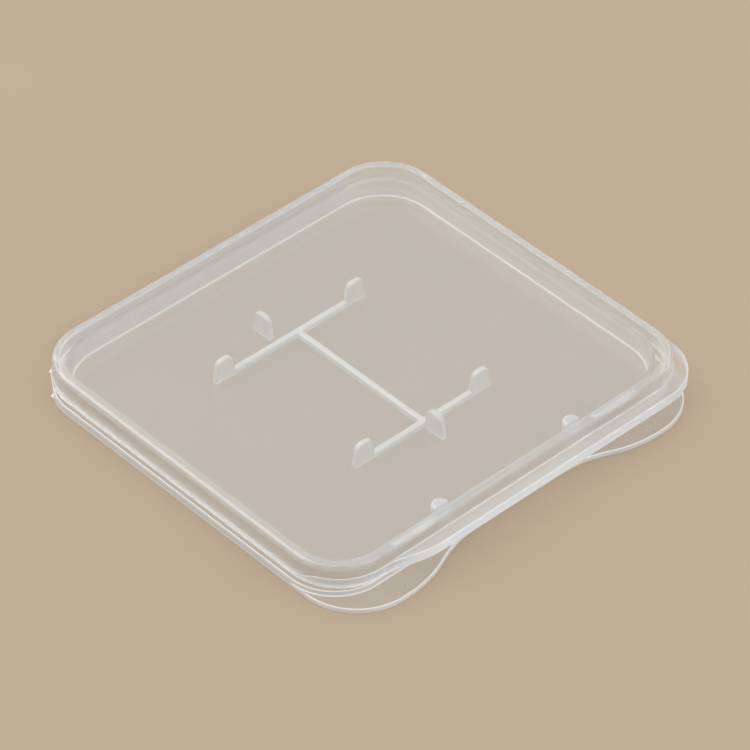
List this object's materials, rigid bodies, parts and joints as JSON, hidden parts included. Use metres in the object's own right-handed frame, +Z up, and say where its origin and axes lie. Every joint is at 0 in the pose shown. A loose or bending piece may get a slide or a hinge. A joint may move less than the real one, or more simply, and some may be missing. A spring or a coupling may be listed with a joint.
{
  "type": "memory card case",
  "caption": "Flat clear square case for one memory card: a tray with thumb lobes and card tabs, a lid with a front lip, and a folding strap hinge.",
  "frame": {"origin": "middle of the tray on its flat underside", "axes": "+Z up through the lid, +Y towards the hinge, +X to the right along the hinge line, seen from the opening edge"},
  "size_m": [0.0376, 0.0374, 0.0037],
  "materials": {
    "tray_plastic": "glossy, clear with a slight milkiness",
    "lid_plastic": "glossy, clear with a slight milkiness",
    "hinge_plastic": "glossy, whitened where the thin plastic folds"
  },
  "bodies": {
    "tray": {"tray_floor": "tray_plastic", "tray_wall": "tray_plastic", "holder_ribs": "tray_plastic", "holder_tabs": "tray_plastic", "front_posts": "tray_plastic", "tray_film": "hinge_plastic"},
    "strap": {"hinge_strap": "hinge_plastic"},
    "lid": {"lid_panel": "lid_plastic", "lid_wall": "lid_plastic", "front_lip": "lid_plastic", "latch_pads": "lid_plastic", "lid_film": "hinge_plastic"}
  },
  "joints": [
    {"name": "lower_fold", "type": "hinge", "parent": "tray", "child": "strap", "pos_m": [0, 0.018, 0.00055], "axis": [-1, 0, 0], "range_deg": [0, 90]},
    {"name": "upper_fold", "type": "hinge", "parent": "strap", "child": "lid", "pos_m": [0, 0.018, 0.0019], "axis": [-1, 0, 0], "range_deg": [0, 90]}
  ]
}
